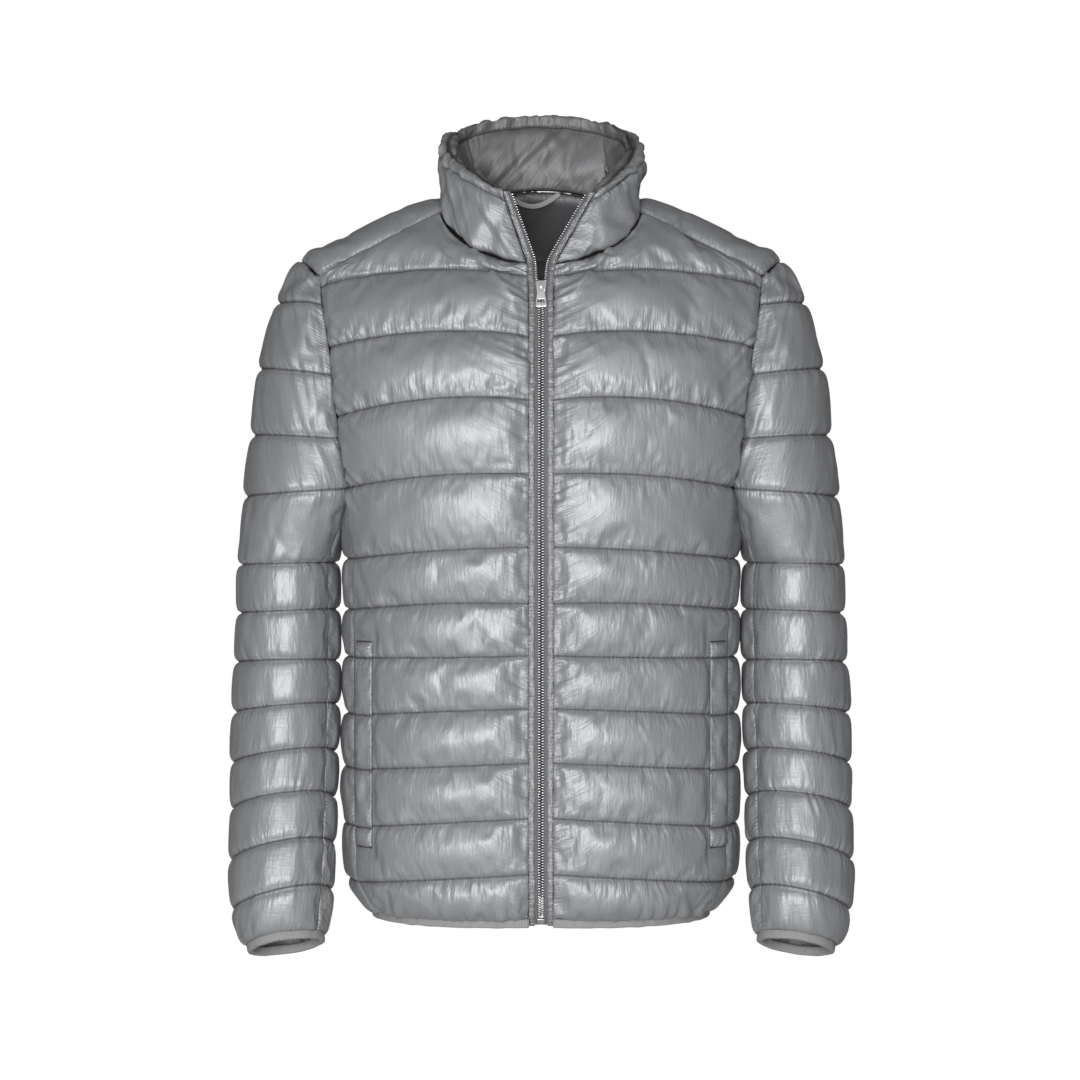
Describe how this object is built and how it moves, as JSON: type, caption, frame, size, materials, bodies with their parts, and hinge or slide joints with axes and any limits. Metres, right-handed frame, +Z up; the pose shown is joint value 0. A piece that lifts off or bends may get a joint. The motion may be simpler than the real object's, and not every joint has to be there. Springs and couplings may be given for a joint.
{
  "type": "puffer jacket",
  "caption": "Hip-length light down jacket with horizontal quilting, a stand collar, set-in sleeves, hand-pocket welts and a full front zip that is closed up to the neck, shown filled out and hollow",
  "frame": {"origin": "midway between the two points where the shoulder ridges meet the collar, where the shoulders carry the jacket", "axes": "+Z up, -Y out of the front, +X to the right of somebody who looks at the front"},
  "size_m": [0.6194, 0.2829, 0.8417],
  "materials": {
    "shell": "silver-grey light nylon taffeta with a soft sheen, quilted over down",
    "inner_shell": "grey light nylon, smooth",
    "binding": "matte light-grey knitted elastic binding",
    "zip_tape": "grey woven polyester tape",
    "zip_teeth": "dark grey moulded coil",
    "zip_metal": "bright polished plated zinc"
  },
  "bodies": {
    "jacket": {"front_left": "shell", "front_right": "shell", "back": "shell", "side_left": "shell", "side_right": "shell", "yoke_left": "shell", "yoke_right": "shell", "sleeve_left": "shell", "sleeve_right": "shell", "undersleeve_left": "shell", "undersleeve_right": "shell", "collar_outer": "shell", "pocket_welt_left": "shell", "pocket_welt_right": "shell", "collar_inner": "inner_shell", "hem_binding": "binding", "cuff_binding_left": "binding", "cuff_binding_right": "binding", "zip_tape_left": "zip_tape", "zip_tape_right": "zip_tape", "hanger_loop": "zip_tape", "zip_chain": "zip_teeth", "zip_teeth_left": "zip_teeth", "zip_teeth_right": "zip_teeth", "zip_box": "zip_metal", "zip_slider": "zip_metal", "zip_bridge": "zip_metal"},
    "pull": {"zip_pull": "zip_metal"}
  },
  "joints": [
    {"name": "pull_swing", "type": "hinge", "parent": "jacket", "child": "pull", "pos_m": [0, -0.10446, -0.0951], "axis": [-1, 0, 0], "range_deg": [0, 160]}
  ]
}
